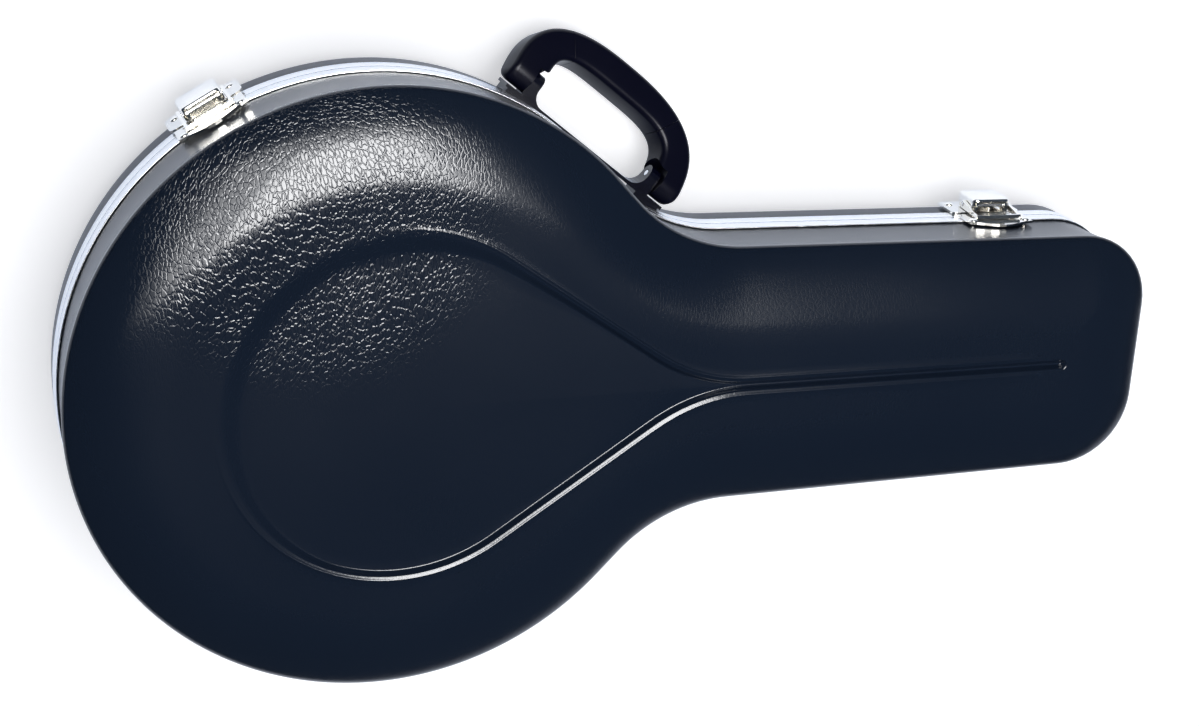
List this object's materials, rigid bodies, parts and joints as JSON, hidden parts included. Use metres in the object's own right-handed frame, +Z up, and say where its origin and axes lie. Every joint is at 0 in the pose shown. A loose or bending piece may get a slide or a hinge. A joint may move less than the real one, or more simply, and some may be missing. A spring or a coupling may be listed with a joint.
{
  "type": "banjo case",
  "caption": "Moulded hard case for a short-necked banjo: padded base and hinged lid with metal rims, over-centre latches, a swinging handle and an accessory box with its own lid.",
  "frame": {"origin": "centre of the round body, on the flat underside that the case rests on", "axes": "+X from the round body to the end of the neck, +Y to the side with the handle and the latches, +Z up towards the lid"},
  "size_m": [0.7094, 0.4048, 0.127],
  "materials": {
    "shell": "semi-gloss, moulded with a leather grain",
    "valance": "bright extruded rim",
    "plush": "short plush over foam",
    "board": "plush-covered board",
    "tab": "plain pull tab",
    "hardware": "bright nickel plate",
    "handle_plastic": "satin moulded",
    "handle_pins": "plated steel"
  },
  "bodies": {
    "case_base": {"base_shell": "shell", "base_valance": "valance", "base_padding": "plush", "neck_padding": "plush", "neck_cradle": "plush", "accessory_box": "board", "hinge_left_base_leaf": "hardware", "hinge_left_pin": "hardware", "hinge_right_base_leaf": "hardware", "hinge_right_pin": "hardware", "body_latch_base_plate": "hardware", "body_latch_lever_pin": "hardware", "neck_latch_base_plate": "hardware", "neck_latch_lever_pin": "hardware", "handle_bracket": "handle_plastic", "handle_pin_left": "handle_pins", "handle_pin_right": "handle_pins"},
    "lid": {"lid_shell": "shell", "lid_valance": "valance", "lid_padding": "plush", "hinge_left_lid_leaf": "hardware", "hinge_right_lid_leaf": "hardware", "body_latch_strike": "hardware", "neck_latch_strike": "hardware"},
    "handle": {"handle_grip": "handle_plastic", "handle_end_left": "handle_plastic", "handle_end_right": "handle_plastic"},
    "accessory_lid": {"accessory_lid": "board", "accessory_tab": "tab"},
    "body_latch_lever": {"body_latch_lever": "hardware", "body_latch_bail_pin": "hardware"},
    "body_latch_bail": {"body_latch_bail": "hardware"},
    "neck_latch_lever": {"neck_latch_lever": "hardware", "neck_latch_bail_pin": "hardware"},
    "neck_latch_bail": {"neck_latch_bail": "hardware"}
  },
  "joints": [
    {"name": "lid_hinge", "type": "hinge", "parent": "case_base", "child": "lid", "pos_m": [0, -0.1964, 0.05], "axis": [1, 0, 0], "range_deg": [0, 105]},
    {"name": "handle_swing", "type": "hinge", "parent": "case_base", "child": "handle", "pos_m": [0.14782, 0.14257, 0.031], "axis": [0.7848, -0.6198, 0], "range_deg": [-49.6, 106.4]},
    {"name": "body_latch_lever_turn", "type": "hinge", "parent": "case_base", "child": "body_latch_lever", "pos_m": [-0.1019, 0.17093, 0.05], "axis": [0.859, 0.512, 0], "range_deg": [0, 115]},
    {"name": "body_latch_bail_turn", "type": "hinge", "parent": "body_latch_lever", "child": "body_latch_bail", "pos_m": [-0.10118, 0.16973, 0.042], "axis": [0.859, 0.512, 0], "range_deg": [-115, 0]},
    {"name": "neck_latch_lever_turn", "type": "hinge", "parent": "case_base", "child": "neck_latch_lever", "pos_m": [0.42415, 0.08739, 0.05], "axis": [0.9999, -0.0167, 0], "range_deg": [0, 115]},
    {"name": "neck_latch_bail_turn", "type": "hinge", "parent": "neck_latch_lever", "child": "neck_latch_bail", "pos_m": [0.42413, 0.08599, 0.042], "axis": [0.9999, -0.0167, 0], "range_deg": [-115, 0]},
    {"name": "accessory_lid_hinge", "type": "hinge", "parent": "case_base", "child": "accessory_lid", "pos_m": [0.3097, 0, 0.0306], "axis": [0, 1, 0], "range_deg": [0, 95]}
  ],
  "couplings": [
    {"joint": "body_latch_bail_turn", "follows": "body_latch_lever_turn", "ratio": -1},
    {"joint": "neck_latch_bail_turn", "follows": "neck_latch_lever_turn", "ratio": -1}
  ]
}
